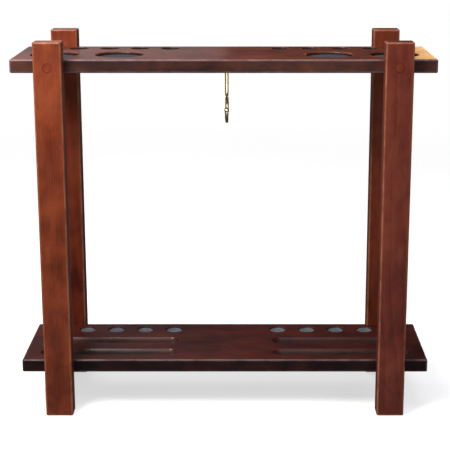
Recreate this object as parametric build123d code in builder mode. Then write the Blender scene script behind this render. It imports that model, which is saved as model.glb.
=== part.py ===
from build123d import *
import os
from math import atan2, cos, degrees, radians, sin, sqrt

# Floor-standing rack for eight billiard cues. Two boards are housed between four square legs. The
# top board has cue holes and drink recesses, the bottom board has padded butt cups and ball grooves,
# and a brass hook for the ball triangle hangs under the top board.
# Millimetres. The origin is on the floor under the middle, +X right seen from the front, +Y back.

# boards
shelf_width = 762.0
shelf_depth = 203.2
shelf_thickness = 24.5
shelf_edge_radius = 3.0
top_surface_z = 667.0
bottom_surface_z = 102.0
notch_depth = 9.6
notch_play = 0.2

# legs
post_width = 50.8
post_depth = 35.0
post_height = 700.0
post_edge_radius = 4.0
post_end_radius = 2.5
post_centre_x = 310.0

# rows of features, measured back from the boards' front edge
cue_row = 170.0
rear_groove_row = 105.8
front_groove_row = 41.5
drink_row = 75.0

# cue holes, butt cups and their pads
first_cue_x = 103.8
cue_pitch = 57.9
cue_hole_radius = 17.5
cue_rim_radius = 1.5
cup_radius = 15.5
cup_rim_radius = 2.5
cup_depth = 6.6
pad_thickness = 2.0
pad_gap = 0.3

# drink recesses
inner_drink_x = 191.8
outer_drink_x = 310.9
drink_radius = 43.8
drink_rim_radius = 2.4
drink_depth = 7.0

# ball grooves, each a cove with dished ends
groove_inner_x = 90.7
groove_outer_x = 352.6
groove_half_width = 17.2
groove_depth = 9.0

# upper joint: bolt from the leg's outer face into a barrel nut in the board, under a wood plug
plug_radius = 8.0
plug_length = 5.0
plug_chamfer = 0.5
counterbore_depth = 12.0
bolt_radius = 3.0
bolt_hole_radius = 3.3
bolt_length = 44.0
bolt_head_radius = 6.5
bolt_head_height = 5.5
bolt_socket_flats = 4.0
bolt_socket_depth = 3.0
barrel_radius = 5.0
barrel_length = 12.0
barrel_inset = 14.5

# lower joint: cam bolt and cam under the board, with two wooden dowels
cam_radius = 7.5
cam_height = 12.5
cam_recess = 0.3
cam_inset = 24.0
cam_axis_height = 7.5
cam_bolt_radius = 2.5
cam_bolt_grip = 11.0
cam_head_radius = 3.5
cam_head_length = 2.5
dowel_radius = 4.0
dowel_length = 30.0
dowel_spread = 30.0

# triangle hook
hook_x = 4.0
hook_wire_radius = 3.75
hook_loop_radius = 24.5
hook_bend_radius = 7.0
hook_loop_centre_z = 563.3
hook_ball_radius = 4.8
hook_thread_radius = 2.5
hook_thread_length = 17.0

os.makedirs("parts", exist_ok=True)

front_y = -shelf_depth / 2
housing_y = shelf_depth / 2 - notch_depth
outer_face_y = housing_y + post_depth
top_underside_z = top_surface_z - shelf_thickness
bottom_underside_z = bottom_surface_z - shelf_thickness
bolt_z = top_surface_z - shelf_thickness / 2
cam_axis_z = bottom_underside_z + cam_axis_height
dowel_z = bottom_surface_z - shelf_thickness / 2

cue_y = front_y + cue_row
drink_y = front_y + drink_row
right_cue_xs = [first_cue_x + i * cue_pitch for i in range(4)]
cue_xs = [-x for x in reversed(right_cue_xs)] + right_cue_xs
drink_xs = [-outer_drink_x, -inner_drink_x, inner_drink_x, outer_drink_x]
corners = [(x, side) for side in (-1, 1) for x in (-post_centre_x, post_centre_x)]


def facing(x, y, z, side):
    """Plane upright at a point, its normal pointing forwards (side -1) or backwards (side 1)."""
    return Plane(origin=(x, y, z), x_dir=(1, 0, 0), z_dir=(0, side, 0))


def below(x, y, z):
    """Level plane at a point, its normal pointing down."""
    return Plane(origin=(x, y, z), x_dir=(1, 0, 0), z_dir=(0, 0, -1))


def save(part, name):
    """Labels one finished piece, or one group of like pieces, and writes it."""
    part.label = name
    export_step(part, f"parts/{name}.step")


def rims(part, radius, z):
    """Circular edges of one radius that lie at one height."""
    circles = part.edges().filter_by(GeomType.CIRCLE)
    same = circles.filter_by(lambda e: abs(e.radius - radius) < 0.01)
    return same.filter_by(lambda e: abs(e.center().Z - z) < 0.01)


def notched_board(surface_z):
    """Rounded board with a housing for each leg cut into its long edges."""
    underside = Plane.XY.offset(surface_z - shelf_thickness)
    with BuildPart() as board:
        with BuildSketch(underside):
            RectangleRounded(shelf_width, shelf_depth, shelf_edge_radius)
        extrude(amount=shelf_thickness)
        levels = board.edges().group_by(Axis.Z)
        fillet(levels[0] + levels[-1], shelf_edge_radius - 0.05)
        with BuildSketch(underside):
            with GridLocations(2 * post_centre_x, shelf_depth, 2, 2):
                Rectangle(post_width + 2 * notch_play, 2 * notch_depth)
        extrude(amount=shelf_thickness, mode=Mode.SUBTRACT)
    return board.part


# Top board: cue holes at the back, drink recesses in front, fixings from the edges and from below.
with BuildPart() as top_shelf:
    add(notched_board(top_surface_z))
    with Locations(*[(x, cue_y, top_surface_z) for x in cue_xs]):
        Hole(cue_hole_radius)
    with Locations(*[(x, drink_y, top_surface_z) for x in drink_xs]):
        Hole(drink_radius, depth=drink_depth)
    for z in (top_surface_z, top_underside_z):
        fillet(rims(top_shelf, cue_hole_radius, z), cue_rim_radius)
    fillet(rims(top_shelf, drink_radius, top_surface_z), drink_rim_radius)
    with Locations(*[facing(x, side * housing_y, bolt_z, side) for x, side in corners]):
        Hole(bolt_hole_radius, depth=barrel_inset + barrel_radius + 3.5)
    with Locations(*[below(x, side * (housing_y - barrel_inset), top_underside_z) for x, side in corners]):
        Hole(barrel_radius, depth=shelf_thickness / 2 + barrel_length / 2 + 0.3)
    with Locations(below(hook_x, 0, top_underside_z)):
        Hole(hook_thread_radius, depth=hook_thread_length + 1.0)
save(top_shelf.part, "top_shelf")

# Bottom board: butt cups at the back and two ball grooves on each side of the middle.
cove_radius = (groove_half_width**2 + groove_depth**2) / (2 * groove_depth)
cove_axis_z = bottom_surface_z - groove_depth + cove_radius
cove_start = groove_inner_x + groove_half_width
cove_end = groove_outer_x - groove_half_width
cove_middle = (cove_start + cove_end) / 2
groove_ys = [front_y + front_groove_row, front_y + rear_groove_row]

with BuildPart() as bottom_shelf:
    add(notched_board(bottom_surface_z))
    with Locations(*[(x, cue_y, bottom_surface_z) for x in cue_xs]):
        Hole(cup_radius, depth=cup_depth)
    fillet(rims(bottom_shelf, cup_radius, bottom_surface_z), cup_rim_radius)
    for y in groove_ys:
        for sign in (-1, 1):
            with Locations((sign * cove_middle, y, cove_axis_z)):
                Cylinder(cove_radius, cove_end - cove_start, rotation=(0, 90, 0), mode=Mode.SUBTRACT)
            with Locations((sign * cove_start, y, cove_axis_z), (sign * cove_end, y, cove_axis_z)):
                Sphere(cove_radius, mode=Mode.SUBTRACT)
    with Locations(*[facing(x, side * housing_y, cam_axis_z, side) for x, side in corners]):
        Hole(cam_head_radius + 0.3, depth=cam_inset)
    with Locations(*[below(x, side * (housing_y - cam_inset), bottom_underside_z) for x, side in corners]):
        Hole(cam_radius, depth=cam_height + 2 * cam_recess)
    for x, side in corners:
        with Locations(facing(x, side * housing_y, dowel_z, side)):
            with GridLocations(dowel_spread, 0, 2, 1):
                Hole(dowel_radius, depth=dowel_length / 2 + 0.5)
save(bottom_shelf.part, "bottom_shelf")

# Four legs, all alike: counterbored for the upper bolt, drilled on the inner face for the lower joint.
post_names = ["front_left_post", "front_right_post", "rear_left_post", "rear_right_post"]
for name, (x, side) in zip(post_names, corners):
    with BuildPart() as post:
        with BuildSketch():
            with Locations((x, side * (housing_y + post_depth / 2))):
                RectangleRounded(post_width, post_depth, post_edge_radius)
        extrude(amount=post_height)
        levels = post.edges().group_by(Axis.Z)
        fillet(levels[0] + levels[-1], post_end_radius)
        with Locations(facing(x, side * outer_face_y, bolt_z, side)):
            CounterBoreHole(bolt_hole_radius, plug_radius, counterbore_depth)
        with Locations(facing(x, side * housing_y, cam_axis_z, -side)):
            Hole(cam_bolt_radius, depth=cam_bolt_grip)
        with Locations(facing(x, side * housing_y, dowel_z, -side)):
            with GridLocations(dowel_spread, 0, 2, 1):
                Hole(dowel_radius, depth=dowel_length / 2 + 0.5)
    save(post.part, name)

# Wood plugs that close the counterbores flush with the legs' outer faces.
with BuildPart() as bolt_plugs:
    for x, side in corners:
        with BuildSketch(facing(x, side * outer_face_y, bolt_z, side)):
            Circle(plug_radius)
        extrude(amount=-plug_length)
    outer_rims = bolt_plugs.edges().filter_by(lambda e: abs(abs(e.center().Y) - outer_face_y) < 0.01)
    chamfer(outer_rims, plug_chamfer)
save(bolt_plugs.part, "bolt_plugs")

# Connector bolts with hexagon sockets.
with BuildPart() as connector_bolts:
    seat = outer_face_y - counterbore_depth
    for x, side in corners:
        with BuildSketch(facing(x, side * seat, bolt_z, side)):
            Circle(bolt_head_radius)
        extrude(amount=bolt_head_height)
        with BuildSketch(facing(x, side * seat, bolt_z, side)):
            Circle(bolt_radius)
        extrude(amount=-bolt_length)
        with BuildSketch(facing(x, side * (seat + bolt_head_height), bolt_z, side)):
            RegularPolygon(bolt_socket_flats / 2, 6, major_radius=False)
        extrude(amount=-bolt_socket_depth, mode=Mode.SUBTRACT)
save(connector_bolts.part, "connector_bolts")

# Barrel nuts, cross-drilled for the bolts.
with BuildPart() as barrel_nuts:
    for x, side in corners:
        with Locations((x, side * (housing_y - barrel_inset), bolt_z)):
            Cylinder(barrel_radius, barrel_length)
            Cylinder(bolt_radius, 3 * barrel_radius, rotation=(90, 0, 0), mode=Mode.SUBTRACT)
save(barrel_nuts.part, "barrel_nuts")

# Cam bolts: threaded into the legs, their heads caught by the cams.
with BuildPart() as cam_bolts:
    head_back_y = housing_y - cam_inset + cam_head_radius - 1.0
    for x, side in corners:
        with BuildSketch(facing(x, side * (housing_y + cam_bolt_grip), cam_axis_z, side)):
            Circle(cam_bolt_radius)
        extrude(amount=-(housing_y + cam_bolt_grip - head_back_y))
        with BuildSketch(facing(x, side * head_back_y, cam_axis_z, side)):
            Circle(cam_head_radius)
        extrude(amount=-cam_head_length)
save(cam_bolts.part, "cam_bolts")

# Cams: turned from below with a screwdriver, pocketed for the bolt heads.
with BuildPart() as cams:
    for x, side in corners:
        cam_y = side * (housing_y - cam_inset)
        base_z = bottom_underside_z + cam_recess
        with BuildSketch(Plane.XY.offset(base_z)):
            with Locations((x, cam_y)):
                Circle(cam_radius)
        extrude(amount=cam_height)
        with BuildSketch(facing(x, side * (housing_y - cam_inset + cam_radius + 1), cam_axis_z, side)):
            Circle(cam_bolt_radius + 0.2)
        extrude(amount=-cam_radius, mode=Mode.SUBTRACT)
        with BuildSketch(facing(x, side * (head_back_y + 0.2), cam_axis_z, side)):
            Circle(cam_head_radius + 0.2)
        extrude(amount=-(cam_head_length + 1.2), mode=Mode.SUBTRACT)
        with BuildSketch(Plane.XY.offset(base_z)):
            with Locations((x, cam_y)):
                Rectangle(8.0, 1.4)
                Rectangle(1.4, 8.0)
        extrude(amount=1.6, mode=Mode.SUBTRACT)
save(cams.part, "cams")

# Wooden dowels, two in each lower joint.
with BuildPart() as dowels:
    for x, side in corners:
        with Locations((x, side * housing_y, dowel_z)):
            with GridLocations(dowel_spread, 0, 2, 1):
                Cylinder(dowel_radius, dowel_length, rotation=(90, 0, 0))
    ends = dowels.edges().filter_by(lambda e: abs(abs(e.center().Y) - housing_y) > dowel_length / 2 - 0.01)
    chamfer(ends.filter_by(GeomType.CIRCLE), 0.8)
save(dowels.part, "dowels")

# Rubber pads in the butt cups.
for i, x in enumerate(cue_xs, start=1):
    with BuildPart() as cue_pad:
        with BuildSketch(Plane.XY.offset(bottom_surface_z - cup_depth)):
            with Locations((x, cue_y)):
                Circle(cup_radius - pad_gap)
        extrude(amount=pad_thickness)
        fillet(cue_pad.edges().group_by(Axis.Z)[-1], 0.6)
    save(cue_pad.part, f"cue_pad_{i}")

# Felt pads in the drink recesses.
for i, x in enumerate(drink_xs, start=1):
    with BuildPart() as drink_pad:
        with BuildSketch(Plane.XY.offset(top_surface_z - drink_depth)):
            with Locations((x, drink_y)):
                Circle(drink_radius - pad_gap)
        extrude(amount=pad_thickness)
        fillet(drink_pad.edges().group_by(Axis.Z)[-1], 0.6)
    save(drink_pad.part, f"drink_pad_{i}")

# Brass hook: screwed up into the board, cranked back, then three quarters of a circle with a ball end.
crank_z = hook_loop_centre_z + sqrt(hook_loop_radius**2 + 2 * hook_bend_radius * hook_loop_radius)
crank_turn = degrees(atan2(crank_z - hook_loop_centre_z, hook_bend_radius))
with BuildPart() as triangle_hook:
    with BuildLine(Plane.YZ.offset(hook_x)) as hook_path:
        Line((0, top_underside_z), (0, crank_z))
        CenterArc((hook_bend_radius, crank_z), hook_bend_radius, 180, crank_turn)
        CenterArc((0, hook_loop_centre_z), hook_loop_radius, crank_turn, -180 - crank_turn)
    with BuildSketch(below(hook_x, 0, top_underside_z)):
        Circle(hook_wire_radius)
    sweep(path=hook_path.line)
    with Locations((hook_x, -hook_loop_radius, hook_loop_centre_z)):
        Sphere(hook_ball_radius)
    with BuildSketch(Plane.XY.offset(top_underside_z)):
        with Locations((hook_x, 0)):
            Circle(hook_thread_radius)
    extrude(amount=hook_thread_length)
save(triangle_hook.part, "triangle_hook")
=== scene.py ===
import math

import bpy
import bmesh
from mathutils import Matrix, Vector, noise


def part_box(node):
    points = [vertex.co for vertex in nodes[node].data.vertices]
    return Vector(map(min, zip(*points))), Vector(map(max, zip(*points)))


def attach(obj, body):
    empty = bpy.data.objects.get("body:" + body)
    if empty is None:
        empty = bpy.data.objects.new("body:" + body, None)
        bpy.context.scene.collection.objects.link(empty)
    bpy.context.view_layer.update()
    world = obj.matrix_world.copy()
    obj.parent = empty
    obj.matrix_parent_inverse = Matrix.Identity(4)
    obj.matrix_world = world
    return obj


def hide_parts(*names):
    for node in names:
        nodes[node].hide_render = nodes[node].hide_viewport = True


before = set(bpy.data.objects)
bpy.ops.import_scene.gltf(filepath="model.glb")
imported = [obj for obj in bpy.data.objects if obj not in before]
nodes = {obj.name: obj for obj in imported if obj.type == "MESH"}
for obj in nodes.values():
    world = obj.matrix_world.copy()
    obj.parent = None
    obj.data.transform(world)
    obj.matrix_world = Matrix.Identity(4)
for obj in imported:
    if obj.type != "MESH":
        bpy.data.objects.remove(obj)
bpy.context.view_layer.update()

scene = bpy.context.scene
scene.view_settings.view_transform = "Standard"
scene.view_settings.look = "None"

MM = 0.001
# the spacing, in metres, of a wave texture's bands at scale 1
WAVE_PERIOD = 2 * math.pi / 20

# ---------------------------------------------------------------- camera
# The photograph is taken from above the top shelf with the verticals kept
# straight; the small lens shift here leaves the other views in frame.
CAMERA_PLACE = (0.03513, -2.28486, 0.94271)
CAMERA_PITCH = 13.39
CAMERA_LENS = 98.77
CAMERA_SHIFT = (-0.0411, -0.07)

camera = bpy.data.objects.new("camera", bpy.data.cameras.new("camera"))
scene.collection.objects.link(camera)
camera.location = CAMERA_PLACE
camera.rotation_euler = (math.radians(90 - CAMERA_PITCH), 0, 0)
camera.data.sensor_width = 36
camera.data.lens = CAMERA_LENS
camera.data.shift_x, camera.data.shift_y = CAMERA_SHIFT
camera.data.clip_start = 0.05
camera.data.dof.use_dof = False
scene.camera = camera


# ---------------------------------------------------------------- node tools
plug_low, plug_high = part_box("bolt_plugs")
PLUG_RADIUS = (plug_high[2] - plug_low[2]) / 2
PLUG_X = plug_high[0] - PLUG_RADIUS
PLUG_Z = (plug_high[2] + plug_low[2]) / 2


class Tree:
    """A short way to write one material's node tree."""

    def __init__(self, name):
        self.material = bpy.data.materials.new(name)
        self.material.use_nodes = True
        self.nodes = self.material.node_tree.nodes
        self.links = self.material.node_tree.links
        self.nodes.clear()
        self.out = self.nodes.new("ShaderNodeOutputMaterial")
        self.shader = self.nodes.new("ShaderNodeBsdfPrincipled")
        self.links.new(self.shader.outputs[0], self.out.inputs[0])

    def put(self, socket, value):
        """Links another node's output to the socket, or sets it to a plain value."""
        if hasattr(value, "is_output"):
            self.links.new(value, socket)
        else:
            socket.default_value = value

    def node(self, kind, output=0, settings=None, **inputs):
        """One output of a new node. An underscore in an input's name stands for a space."""
        made = self.nodes.new("ShaderNode" + kind)
        for key, value in (settings or {}).items():
            setattr(made, key, value)
        for key, value in inputs.items():
            self.put(made.inputs[key.replace("_", " ")], value)
        return made.outputs[output]

    def math(self, operation, a, b=0.0):
        made = self.nodes.new("ShaderNodeMath")
        made.operation = operation
        self.put(made.inputs[0], a)
        self.put(made.inputs[1], b)
        return made.outputs[0]

    def vector(self, operation, a, b=(0, 0, 0), output="Vector"):
        made = self.nodes.new("ShaderNodeVectorMath")
        made.operation = operation
        self.put(made.inputs[0], a)
        self.put(made.inputs[1], b)
        return made.outputs[output]

    def place(self, move=(0, 0, 0), turn=(0, 0, 0)):
        """Object coordinates in metres, turned and then moved."""
        return self.node(
            "Mapping", Vector=self.node("TexCoord", "Object"), Location=move,
            Rotation=[math.radians(angle) for angle in turn],
        )

    def stretch(self, vector, scale):
        return self.vector("MULTIPLY", vector, scale)

    def parts(self, vector):
        """The X, Y and Z of a vector."""
        made = self.nodes.new("ShaderNodeSeparateXYZ")
        self.links.new(vector, made.inputs[0])
        return made.outputs

    def noise(self, vector, scale, detail=3.0, rough=0.55, distortion=0.0):
        return self.node(
            "TexNoise", "Fac", Vector=vector, Scale=scale, Detail=detail,
            Roughness=rough, Distortion=distortion,
        )

    def level(self, value, start, end, low=0.0, high=1.0, smooth=True):
        """value taken from start..end to low..high and held there."""
        return self.node(
            "MapRange", settings={"interpolation_type": "SMOOTHSTEP" if smooth else "LINEAR"},
            Value=value, From_Min=start, From_Max=end, To_Min=low, To_Max=high,
        )

    def ramp(self, value, stops):
        made = self.nodes.new("ShaderNodeValToRGB")
        while len(made.color_ramp.elements) < len(stops):
            made.color_ramp.elements.new(0.5)
        for element, (at, colour) in zip(made.color_ramp.elements, stops):
            element.position = at
            element.color = (*colour, 1)
        self.put(made.inputs[0], value)
        return made.outputs[0]

    def mix(self, factor, a, b, blend="MIX"):
        """Two colours mixed. The colour sockets of the Mix node are numbers 6, 7 and 2."""
        made = self.nodes.new("ShaderNodeMix")
        made.data_type = "RGBA"
        made.blend_type = blend
        self.put(made.inputs[0], factor)
        for socket, value in ((made.inputs[6], a), (made.inputs[7], b)):
            self.put(socket, (*value, 1) if isinstance(value, tuple) else value)
        return made.outputs[2]

    def bump(self, height, strength, distance, normal=None):
        made = self.nodes.new("ShaderNodeBump")
        made.inputs["Strength"].default_value = strength
        made.inputs["Distance"].default_value = distance
        self.put(made.inputs["Height"], height)
        if normal is not None:
            self.links.new(normal, made.inputs["Normal"])
        return made.outputs[0]

    def edges(self, radius, start, end):
        """1 on the sharp corners of the shape and 0 on its flats."""
        soft = self.node("Bevel", settings={"samples": 6}, Radius=radius)
        hard = self.node("NewGeometry", "True Normal")
        return self.level(self.vector("DOT_PRODUCT", soft, hard, "Value"), start, end)

    def corners(self, node, width):
        """1 on the rounded edges of a node that is a plain board or post."""
        near = []
        for off, low, high in zip(self.parts(self.place()), *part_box(node)):
            from_middle = self.math("ABSOLUTE", self.math("SUBTRACT", off, (low + high) / 2))
            half = (high - low) / 2
            near.append(self.level(from_middle, half - width, half - 0.35 * width))
        pairs = [self.math("MULTIPLY", near[a], near[b]) for a, b in ((0, 1), (1, 2), (0, 2))]
        return self.math("MAXIMUM", self.math("MAXIMUM", pairs[0], pairs[1]), pairs[2])

    def from_plug(self):
        """Distance, across the face, from the middle of the nearest plug."""
        x, _, z = self.parts(self.place())
        across = self.math("SUBTRACT", self.math("ABSOLUTE", x), PLUG_X)
        up = self.math("SUBTRACT", z, PLUG_Z)
        squares = [self.math("MULTIPLY", side, side) for side in (across, up)]
        return self.math("SQRT", self.math("ADD", *squares))

    def cut_into(self, board, start, full):
        """1 on what is cut into a board from above: it begins start below the top face and
        is full at the depth full. 0 on the board's own edges."""
        _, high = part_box(board)
        x, y, z = self.parts(self.place())
        inside = self.level(z, high[2] - start, high[2] - full)
        for off, reach in ((y, high[1] - 6.6 * MM), (x, high[0] - 6.0 * MM)):
            within = self.level(self.math("ABSOLUTE", off), reach, reach - 2 * MM)
            inside = self.math("MULTIPLY", inside, within)
        return inside

    def finish(self, colour, rough, normal=None, **plain):
        self.put(self.shader.inputs["Base Color"], colour)
        self.put(self.shader.inputs["Roughness"], rough)
        if normal is not None:
            self.put(self.shader.inputs["Normal"], normal)
        for key, value in plain.items():
            self.shader.inputs[key.replace("_", " ")].default_value = value
        return self.material


# ---------------------------------------------------------------- wood
GRAIN_TURN = {"x": (0, 0, 0), "z": (0, 90, 0), "y": (0, 0, 90)}
# each stain is its dark, middle and light tone
MAHOGANY = ((0.052, 0.0080, 0.0032), (0.138, 0.0240, 0.0076), (0.235, 0.0480, 0.0135))
DARK_MAHOGANY = ((0.022, 0.0045, 0.0034), (0.054, 0.0092, 0.0062), (0.090, 0.0160, 0.0090))
# the colour of worn edges, lighter than the stain, which also paints a highlight on them
WORN_AND_LIT_EDGE = (0.315, 0.108, 0.050)


def shaded(stain, amount):
    """The stain with its red, green and blue each taken by its share of amount."""
    return tuple(tuple(c * share for c, share in zip(tone, amount)) for tone in stain)


def growth_rings(t, tree, spacing):
    """Rings of the tree, a little wavy."""
    wave = t.node(
        "TexWave", "Fac", {"wave_type": "RINGS", "rings_direction": "X", "wave_profile": "SAW"},
        Vector=tree, Scale=WAVE_PERIOD / spacing, Distortion=7.0,
        Detail=2.5, Detail_Scale=0.035, Detail_Roughness=0.5,
    )
    return t.level(wave, 0.0, 1.0)


def worn_and_highlit_edges(t, straight, away, board):
    """Where handling has thinned the stain, made lighter still as a painted highlight: unevenly along
    the edges, but not round a plug.
    """
    edge = t.edges(2.0 * MM, 0.985, 0.80)
    if board:
        edge = t.math("MAXIMUM", t.math("MULTIPLY", edge, 0.5), t.corners(board, 4.2 * MM))
    clear = t.level(away, PLUG_RADIUS + 1.5 * MM, PLUG_RADIUS + 3.5 * MM)
    patchy = t.level(t.noise(straight, 38.0, 4, 0.6), 0.34, 0.64, 0.35, 0.90)
    return t.math("MULTIPLY", t.math("MULTIPLY", edge, clear), patchy)


def glue_line(t, away):
    """A narrow ring round each plug."""
    inner = t.level(away, PLUG_RADIUS - 0.8 * MM, PLUG_RADIUS - 0.2 * MM)
    outer = t.level(away, PLUG_RADIUS + 1.0 * MM, PLUG_RADIUS + 0.4 * MM)
    return t.math("MULTIPLY", inner, outer)


def lacquered(name, grain, move, tilt, stain=MAHOGANY, ring_mm=4.2, rim=None, recess_shade=None,
              board=None, edge_worn_lit_colour=WORN_AND_LIT_EDGE, painted_top_light=0.0, gloss=1.0):
    """Stained hardwood under satin lacquer. grain is the axis the fibres run along,
    move picks the piece of tree, tilt turns the rings so that they run out of the face,
    and rim tints the faces that look along Y. board is the node whose rounded edges are
    worn lighter and carry a painted highlight. recess_shade = (start, full, tint) tints
    what is cut into that board between those two depths with painted shade.
    painted_top_light paints light on a post: lighter towards its top and darker towards
    its foot. gloss is how much the lacquer reflects."""
    t = Tree(name)
    turn = GRAIN_TURN[grain]
    tree = t.place(move=move, turn=(turn[0], turn[1] + tilt[0], turn[2] + tilt[1]))
    straight = t.place(move=move, turn=turn)
    away = t.from_plug()

    # rings, fibres, pores and the blotches that a stain leaves
    rings = growth_rings(t, tree, ring_mm * MM)
    fibre = t.noise(t.stretch(straight, (9, 420, 420)), 1.0, 4, 0.62)
    streak = t.noise(t.stretch(straight, (2.6, 60, 60)), 1.0, 3, 0.55)
    pore_field = t.noise(t.stretch(straight, (75, 1500, 1500)), 1.0, 1.5, 0.5)
    pores = t.level(pore_field, 0.62, 0.72)
    blotch = t.noise(t.stretch(straight, (14, 24, 24)), 1.0, 4, 0.6, 0.5)
    cloud = t.noise(t.stretch(straight, (3.0, 6, 6)), 1.0, 2, 0.5)
    tone = t.math("MULTIPLY", rings, 0.045)
    for layer, share in ((fibre, 0.11), (streak, 0.12), (blotch, 0.50), (cloud, 0.36)):
        tone = t.math("ADD", tone, t.math("MULTIPLY", layer, share))
    # painted light: lighter towards the top of a post and darker towards its foot
    if painted_top_light:
        height = t.parts(t.place())["Z"]
        painted_light_fall = t.level(height, 0.02, 0.70, -painted_top_light, painted_top_light, smooth=False)
        tone = t.math("ADD", tone, painted_light_fall)
    dark, middle, light = stain
    colour = t.ramp(tone, [(0.40, dark), (0.56, middle), (0.76, light)])
    colour = t.mix(t.math("MULTIPLY", pores, 0.45), colour, tuple(c * 0.35 for c in dark))

    # worn edges, painted lighter also as a highlight on them
    wear_and_highlight = worn_and_highlit_edges(t, straight, away, board)
    colour = t.mix(wear_and_highlight, colour, edge_worn_lit_colour)
    line = t.math("MULTIPLY", glue_line(t, away), 0.50)
    colour = t.mix(line, colour, tuple(c * 0.5 for c in dark))
    if rim is not None:
        normal_y = t.parts(t.node("NewGeometry", "True Normal"))["Y"]
        side = t.level(t.math("ABSOLUTE", normal_y), 0.75, 0.97)
        side = t.math("MULTIPLY", side, t.level(blotch, 0.2, 0.8, 1.0, 0.72))
        colour = t.mix(side, colour, t.mix(1.0, colour, rim, "MULTIPLY"))

    # handling: slightly duller patches, and more where the wood is open, worn or cut
    rough = t.level(t.noise(straight, 11.0, 4, 0.6), 0.30, 0.75, 0.33, 0.45)
    rough = t.math("ADD", rough, t.math("MULTIPLY", pores, 0.12))
    rough = t.math("ADD", rough, t.math("MULTIPLY", wear_and_highlight, 0.15))
    if recess_shade is not None:
        start, full, tint = recess_shade
        inside = t.cut_into(board, start, full)
        # painted shade: what is cut into the board is darkened by its tint
        colour = t.mix(inside, colour, t.mix(1.0, colour, tint, "MULTIPLY"))
        rough = t.math("ADD", rough, t.math("MULTIPLY", inside, 0.24))

    relief = t.math("SUBTRACT", t.math("MULTIPLY", fibre, 0.5), t.math("MULTIPLY", pores, 0.8))
    normal = t.bump(relief, 0.25, 0.20 * MM)
    normal = t.bump(t.noise(straight, 190.0, 2, 0.5), 0.08, 0.4 * MM, normal)
    waves = t.noise(t.stretch(straight, (3, 16, 16)), 1.0, 2, 0.5)
    normal = t.bump(waves, 0.10, 1.6 * MM, normal)
    return t.finish(
        colour, rough, normal,
        Specular_IOR_Level=0.38 * gloss, IOR=1.45,
        Coat_Weight=0.25 * gloss, Coat_Roughness=0.20, Coat_IOR=1.45,
    )


def beech():
    """Plain glued dowel: pale, short flecks along the fibres."""
    t = Tree("beech_dowel")
    along = t.place(turn=GRAIN_TURN["y"])
    fleck = t.noise(t.stretch(along, (130, 900, 900)), 1.0, 3, 0.6)
    band = t.noise(t.stretch(along, (6, 160, 160)), 1.0, 3, 0.5)
    tone = t.math("ADD", t.math("MULTIPLY", fleck, 0.4), t.math("MULTIPLY", band, 0.6))
    colour = t.ramp(
        tone,
        [(0.35, (0.36, 0.20, 0.10)), (0.52, (0.53, 0.35, 0.20)), (0.70, (0.64, 0.47, 0.30))],
    )
    rough = t.level(fleck, 0.3, 0.7, 0.55, 0.75)
    return t.finish(colour, rough, t.bump(fleck, 0.4, 0.2 * MM))


# ---------------------------------------------------------------- metal, felt, rubber
# each is its own colour and the colour of its duller spots
ROLLED_ZINC = ((0.60, 0.61, 0.60), (0.42, 0.41, 0.36))
CAST_ZINC = ((0.50, 0.51, 0.52), (0.33, 0.33, 0.33))
THREAD_PITCH = 1.5 * MM


def steel(name, colour, spot, grit, thread_axis=None):
    """Zinc-plated steel or zinc casting: cloudy plating, grit, a rolled thread if asked."""
    t = Tree(name)
    at = t.place()
    cloud = t.noise(at, 140.0, 4, 0.6)
    bright = tuple(min(1, c * 1.15) for c in colour)
    tint = t.ramp(cloud, [(0.30, spot), (0.62, colour), (0.85, bright)])
    fine = t.noise(at, grit, 3, 0.6)
    edge = t.edges(0.6 * MM, 0.98, 0.8)
    tint = t.mix(t.math("MULTIPLY", edge, 0.6), tint, (0.80, 0.80, 0.79))
    rough = t.level(fine, 0.3, 0.7, 0.28, 0.52)
    normal = t.bump(fine, 0.35, 0.1 * MM)
    if thread_axis:
        thread = t.node(
            "TexWave", "Fac", {"bands_direction": thread_axis},
            Vector=at, Scale=WAVE_PERIOD / THREAD_PITCH,
        )
        normal = t.bump(thread, 0.25, 0.3 * MM, normal)
    return t.finish(tint, rough, normal, Metallic=1.0)


def brass():
    """Polished brass wire, drawn along Z, with a little tarnish."""
    t = Tree("polished_brass")
    at = t.place()
    drawn = t.noise(t.stretch(at, (900, 900, 60)), 1.0, 3, 0.6)
    tarnish = t.noise(at, 85.0, 5, 0.65)
    stain = t.level(tarnish, 0.50, 0.78)
    colour = t.ramp(
        t.noise(at, 45.0, 3, 0.5),
        [(0.30, (0.74, 0.60, 0.34)), (0.55, (0.87, 0.75, 0.50)), (0.80, (0.94, 0.85, 0.62))],
    )
    colour = t.mix(t.math("MULTIPLY", stain, 0.26), colour, (0.36, 0.22, 0.085))
    rough = t.level(drawn, 0.25, 0.75, 0.26, 0.38)
    rough = t.math("ADD", rough, t.math("MULTIPLY", stain, 0.18))
    normal = t.bump(drawn, 0.10, 0.08 * MM)
    normal = t.bump(tarnish, 0.08, 0.2 * MM, normal)
    return t.finish(colour, rough, normal, Metallic=1.0)


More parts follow.
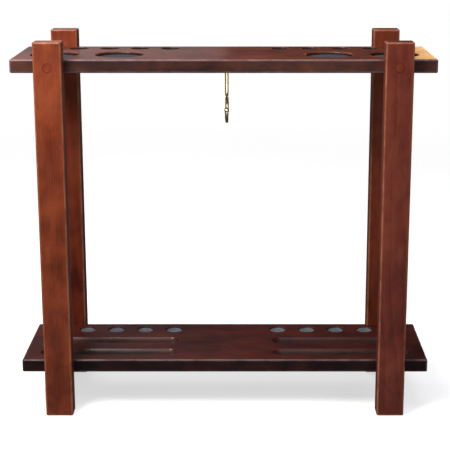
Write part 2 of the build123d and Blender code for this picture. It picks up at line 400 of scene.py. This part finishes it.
def felt():
    """Pressed wool felt, blue-grey, with fibres lying every way and a soft sheen."""
    t = Tree("grey_felt")
    at = t.place()
    fibre_a = t.noise(t.stretch(at, (2600, 420, 700)), 1.0, 3, 0.65, 1.2)
    fibre_b = t.noise(t.stretch(at, (430, 2500, 700)), 1.0, 3, 0.65, 1.2)
    nap = t.math("MAXIMUM", fibre_a, fibre_b)
    lay = t.noise(at, 60.0, 3, 0.6)
    tone = t.math("ADD", t.math("MULTIPLY", nap, 0.75), t.math("MULTIPLY", lay, 0.35))
    colour = t.ramp(
        tone,
        [(0.42, (0.009, 0.012, 0.019)), (0.60, (0.023, 0.028, 0.042)), (0.86, (0.058, 0.068, 0.092))],
    )
    lint = t.level(t.noise(at, 900.0, 2, 0.7), 0.68, 0.78)
    colour = t.mix(t.math("MULTIPLY", lint, 0.4), colour, (0.16, 0.165, 0.18))
    rough = t.level(nap, 0.3, 0.8, 0.86, 1.0)
    normal = t.bump(nap, 0.75, 0.6 * MM)
    normal = t.bump(lay, 0.35, 1.2 * MM, normal)
    return t.finish(
        colour, rough, normal, Specular_IOR_Level=0.15, Sheen_Weight=0.06, Sheen_Roughness=0.5,
    )


def rubber():
    """Moulded grey rubber, dusty where the butts of the cues rub it."""
    t = Tree("grey_rubber")
    at = t.place()
    grain = t.noise(at, 1500.0, 3, 0.6)
    dust = t.noise(at, 130.0, 4, 0.65)
    colour = t.ramp(
        dust,
        [(0.30, (0.060, 0.068, 0.088)), (0.55, (0.098, 0.108, 0.134)), (0.80, (0.165, 0.172, 0.196))],
    )
    speck = t.level(t.noise(at, 700.0, 2, 0.6), 0.66, 0.74)
    colour = t.mix(t.math("MULTIPLY", speck, 0.4), colour, (0.26, 0.26, 0.27))
    edge = t.edges(0.6 * MM, 0.97, 0.75)
    colour = t.mix(t.math("MULTIPLY", edge, 0.35), colour, (0.24, 0.24, 0.26))
    rough = t.level(dust, 0.3, 0.8, 0.50, 0.72)
    normal = t.bump(grain, 0.40, 0.15 * MM)
    return t.finish(colour, rough, normal, Specular_IOR_Level=0.5)


# ---------------------------------------------------------------- the CAD nodes' materials
def paint(node, material):
    nodes[node].data.materials[0] = material


# the shelves: greyish worn edges that also paint a highlight, and painted shade in their cuts
paint("top_shelf", lacquered(
    "mahogany_top", "x", (0.10, 0.03, -0.48), (1.1, 0.5),
    stain=shaded(MAHOGANY, (0.80, 0.80, 0.80)), rim=(0.41, 0.98, 2.40), board="top_shelf",
    edge_worn_lit_colour=(0.22, 0.095, 0.066), recess_shade=(0.8 * MM, 3.0 * MM, (0.16, 0.30, 0.55))))
paint("bottom_shelf", lacquered(
    "mahogany_bottom", "x", (0.55, -0.05, 0.12), (-0.9, 0.7),
    stain=DARK_MAHOGANY, rim=(0.18, 0.62, 1.10), board="bottom_shelf",
    edge_worn_lit_colour=(0.17, 0.085, 0.072), gloss=0.55, recess_shade=(0.8 * MM, 7.5 * MM, (0.50, 0.90, 1.35))))
# where each post lies in the tree, how its rings tilt, and its tint on the stain: partly the wood's
# own tone, partly painted light and shade that make the front left post lighter and the front right
# darker
POSTS = {
    "front_left_post": ((0.23, 0.20, 0.21), (0.8, 0.6), (1.09, 1.09, 1.12)),
    "front_right_post": ((0.42, -0.11, 0.35), (-1.0, 0.5), (0.79, 0.80, 1.45)),
    "rear_left_post": ((0.71, 0.33, -0.17), (0.7, -0.8), (0.90, 0.78, 0.70)),
    "rear_right_post": ((0.95, -0.27, 0.08), (-0.6, -0.7), (0.84, 0.80, 0.95)),
}
# each post also gets painted light, lighter towards its top
for post, (move, tilt, tone_and_painted_light) in POSTS.items():
    paint(post, lacquered("mahogany_" + post, "z", move, tilt, stain=shaded(MAHOGANY, tone_and_painted_light),
                          board=post, painted_top_light=0.060))
paint("bolt_plugs", lacquered(
    "mahogany_plugs", "z", (0.30, 0.14, -0.2), (2.0, 3.0),
    stain=shaded(MAHOGANY, (1.22, 1.22, 1.22)), ring_mm=2.4))
paint("dowels", beech())
for node, name in (("connector_bolts", "zinc_bolt"), ("cam_bolts", "zinc_cam_bolt")):
    paint(node, steel(name, *ROLLED_ZINC, grit=900.0, thread_axis="Y"))
for node, name in (("barrel_nuts", "zinc_nut"), ("cams", "zinc_cam")):
    paint(node, steel(name, *CAST_ZINC, grit=1400.0))
paint("triangle_hook", brass())

felt_material, rubber_material = felt(), rubber()


# ---------------------------------------------------------------- soft pads
# the surface's unevenness, in lumps per metre
COARSE_LUMPS, FINE_LUMPS = 160, 420
# below this height, in millimetres, a pad lies on its recess and keeps its shape
PRESSED_FLAT = 0.5
# past this share of its radius a pad is cut unevenly, by up to twice this share
RIM_SHARE, RIM_WASTE = 0.9, 0.006


def turned_pad(profile, centre, floor, radius, wobble, segments):
    """The mesh of a round pad turned from a profile of (share of radius, millimetres above
    its underside), its surface moved a little by noise."""
    mesh = bmesh.new()
    rings = []
    for share, height in profile:
        ring = []
        for k in range(segments):
            turn = 2 * math.pi * k / segments
            x, y = math.cos(turn), math.sin(turn)
            place = Vector((x * share * radius, y * share * radius, 0))
            at = place + centre
            lumps = noise.noise(at * COARSE_LUMPS) + 0.5 * noise.noise(at * FINE_LUMPS)
            lift = wobble * lumps if height > PRESSED_FLAT else 0.0
            waste = RIM_WASTE * (1 + noise.noise(Vector((x, y, centre.x * 40)) * 5))
            edge = 1 - waste if share > RIM_SHARE else 1.0
            ring.append(mesh.verts.new((
                centre.x + place.x * edge, centre.y + place.y * edge,
                floor + max(0.0, height / 1000 + lift))))
        rings.append(ring)
    for inner, outer in zip(rings, rings[1:]):
        for k in range(segments):
            n = (k + 1) % segments
            mesh.faces.new((inner[k], inner[n], outer[n], outer[k]))
    for ring, height in ((rings[0], profile[0][1]), (rings[-1], profile[-1][1])):
        middle = mesh.verts.new((centre.x, centre.y, floor + height / 1000))
        for k in range(segments):
            mesh.faces.new((ring[k], ring[(k + 1) % segments], middle))
    bmesh.ops.recalc_face_normals(mesh, faces=mesh.faces)
    return mesh


def disc(name, node, profile, wobble, material, segments=72):
    """A round pad of its own, in the place of its CAD solid."""
    lo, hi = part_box(node)
    centre = (Vector(lo) + Vector(hi)) / 2
    mesh = turned_pad(profile, centre, lo[2], (hi[0] - lo[0]) / 2, wobble, segments)
    data = bpy.data.meshes.new(name)
    mesh.to_mesh(data)
    mesh.free()
    for face in data.polygons:
        face.use_smooth = True
    data.materials.append(material)
    piece = bpy.data.objects.new(name, data)
    scene.collection.objects.link(piece)
    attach(piece, "root")
    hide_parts(node)


# each profile runs from near the middle of the underside, round the edge, to near the middle
# of the top
def felt_profile():
    """A flat pad with a soft rounded edge."""
    under = [(share, 0.0) for share in (0.2, 0.5, 0.8, 0.95)]
    side = [(0.985, 0.16), (0.998, 0.60), (0.996, 1.10), (0.985, 1.48), (0.965, 1.68)]
    top = [(0.94, 1.76)] + [(0.9 - 0.05 * k, 1.80) for k in range(18)]
    return under + side + top


def cue_profile():
    """A pad with a thin lip up the wall of the cup, hollowed, with fine moulded rings."""
    under = [(0.3, 0.0), (0.7, 0.0), (0.94, 0.0)]
    side = [(0.985, 0.20), (1.0, 0.70), (1.0, 3.4), (0.996, 3.9), (0.985, 4.15), (0.970, 4.2)]
    lip = [(0.955, 4.1), (0.940, 3.8)]
    hollow_share, steps = 0.93, 64
    floor, rise, steepness = 1.75, 1.85, 4.5
    rib_height, rib_count, ribbed_share = 0.09, 7.0, 0.72
    hollow = []
    for k in range(steps + 1):
        share = hollow_share - 0.90 * k / steps
        rib = rib_height * max(0.0, math.cos(share * 2 * math.pi * rib_count)) * (share < ribbed_share)
        hollow.append((share, floor + rise * (share / hollow_share) ** steepness + rib))
    return under + side + lip + hollow


for number in range(1, 5):
    disc(f"felt_pad_{number}", f"drink_pad_{number}", felt_profile(), 0.00012,
         felt_material, segments=96)
for number in range(1, 9):
    disc(f"butt_pad_{number}", f"cue_pad_{number}", cue_profile(), 0.00003,
         rubber_material)


# ---------------------------------------------------------------- floor, light
FLOOR_FADE = (0.9, 3.2)
# how much of the floor's bounced light the rack doesn't get
FLOOR_HELD_BACK = 0.65


def studio_floor():
    """A pale floor that fades into the background with distance from the rack. The
    lacquer doesn't mirror it."""
    size, steps = 6.0, 24
    mesh = bmesh.new()
    bmesh.ops.create_grid(mesh, x_segments=steps, y_segments=steps, size=size)
    data = bpy.data.meshes.new("floor")
    mesh.to_mesh(data)
    mesh.free()
    floor = bpy.data.objects.new("floor", data)
    floor.location.z = -0.6 * MM
    scene.collection.objects.link(floor)
    t = Tree("pale_floor")
    at = t.place()
    tone = t.noise(at, 2.2, 3, 0.5)
    colour = t.ramp(tone, [(0.30, (0.78, 0.78, 0.78)), (0.70, (0.82, 0.82, 0.82))])
    rough = t.level(tone, 0.3, 0.7, 0.72, 0.82)
    normal = t.bump(t.noise(at, 90.0, 2, 0.5), 0.05, 1.0 * MM)
    t.finish(colour, rough, normal, Specular_IOR_Level=0.1,
             Emission_Color=(1, 1, 1, 1), Emission_Strength=0.62)
    far = t.level(t.vector("LENGTH", at, output="Value"), *FLOOR_FADE)
    light_path = t.nodes.new("ShaderNodeLightPath")
    bounced = t.math("MULTIPLY", light_path.outputs["Is Diffuse Ray"], FLOOR_HELD_BACK)
    unseen = t.math("MAXIMUM", light_path.outputs["Is Glossy Ray"], bounced)
    clear = t.nodes.new("ShaderNodeBsdfTransparent")
    blend = t.nodes.new("ShaderNodeMixShader")
    t.put(blend.inputs[0], t.math("MAXIMUM", far, unseen))
    t.links.new(t.shader.outputs[0], blend.inputs[1])
    t.links.new(clear.outputs[0], blend.inputs[2])
    t.links.new(blend.outputs[0], t.out.inputs[0])
    data.materials.append(t.material)


def studio_world():
    """White to the camera, a soft grey light on the rack, and dimmer still in reflections."""
    world = bpy.data.worlds.new("studio")
    scene.world = world
    world.use_nodes = True
    sky = world.node_tree
    sky.nodes.clear()
    seen = sky.nodes.new("ShaderNodeLightPath")

    def background(colour, strength):
        made = sky.nodes.new("ShaderNodeBackground")
        made.inputs["Color"].default_value = (*colour, 1)
        made.inputs["Strength"].default_value = strength
        return made

    def choose(kind, others, those):
        """those for rays of one kind, and others for the rest."""
        made = sky.nodes.new("ShaderNodeMixShader")
        sky.links.new(seen.outputs[kind], made.inputs[0])
        sky.links.new(others.outputs[0], made.inputs[1])
        sky.links.new(those.outputs[0], made.inputs[2])
        return made

    lighting = background((0.92, 0.95, 1.0), 0.17)
    mirrored = background((0.90, 0.93, 1.0), 0.045)
    shown = background((1, 1, 1), 1.0)
    unseen = choose("Is Glossy Ray", lighting, mirrored)
    out = sky.nodes.new("ShaderNodeOutputWorld")
    sky.links.new(choose("Is Camera Ray", unseen, shown).outputs[0], out.inputs[0])


def softbox(name, place, target, size, power, colour, only=()):
    """A rectangular light in metres and watts, turned to a target. only lists the pieces
    that it lights, or is empty for all of them."""
    light = bpy.data.lights.new(name, "AREA")
    light.shape = "RECTANGLE"
    light.size, light.size_y = size
    light.energy = power
    light.color = colour
    lamp = bpy.data.objects.new(name, light)
    lamp.location = place
    lamp.rotation_euler = (Vector(target) - Vector(place)).to_track_quat("-Z", "Y").to_euler()
    lamp.visible_camera = False
    scene.collection.objects.link(lamp)
    if only:
        lit = bpy.data.collections.new(name + "_lights")
        for piece in only:
            lit.objects.link(piece)
        lamp.light_linking.receiver_collection = lit


studio_floor()
studio_world()
TOP_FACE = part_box("top_shelf")[1][2]
softbox("key", (-0.80, -0.95, 1.60), (-0.2, 0, 0.55), (0.7, 0.7), 38, (1.0, 0.94, 0.86))
softbox("fill", (1.7, -1.7, 1.80), (0, 0, 0.45), (1.3, 1.1), 14, (0.94, 0.95, 1.0))
softbox("top", (0.0, -0.65, 2.3), (0, 0, 0.4), (1.8, 1.2), 15, (0.96, 0.95, 1.0))
softbox("back", (-0.9, 1.9, 2.3), (0, 0, 0.4), (1.4, 1.0), 13, (0.96, 0.98, 1.0))
# a low pale light and a low golden one, which the top of the top shelf mirrors
softbox("sheen", (-0.60, 1.14, 0.82), (-0.3, 0, TOP_FACE), (1.2, 0.20), 0.26, (0.95, 0.96, 1.0))
softbox("warm", (0.72, 1.14, 0.805), (0.37, 0, TOP_FACE), (0.44, 0.28), 1.7, (1.0, 0.59, 0.24),
        only=[nodes["top_shelf"]])
# reflectors that only the polished hook sees, in front of it and behind it
for name, side in (("card_front", -1), ("card_back", 1)):
    softbox(name, (0, side * 1.2, 0.35), (0, 0, 0.60), (2.2, 0.7), 9.5, (1.0, 0.99, 0.95),
            only=[nodes["triangle_hook"]])
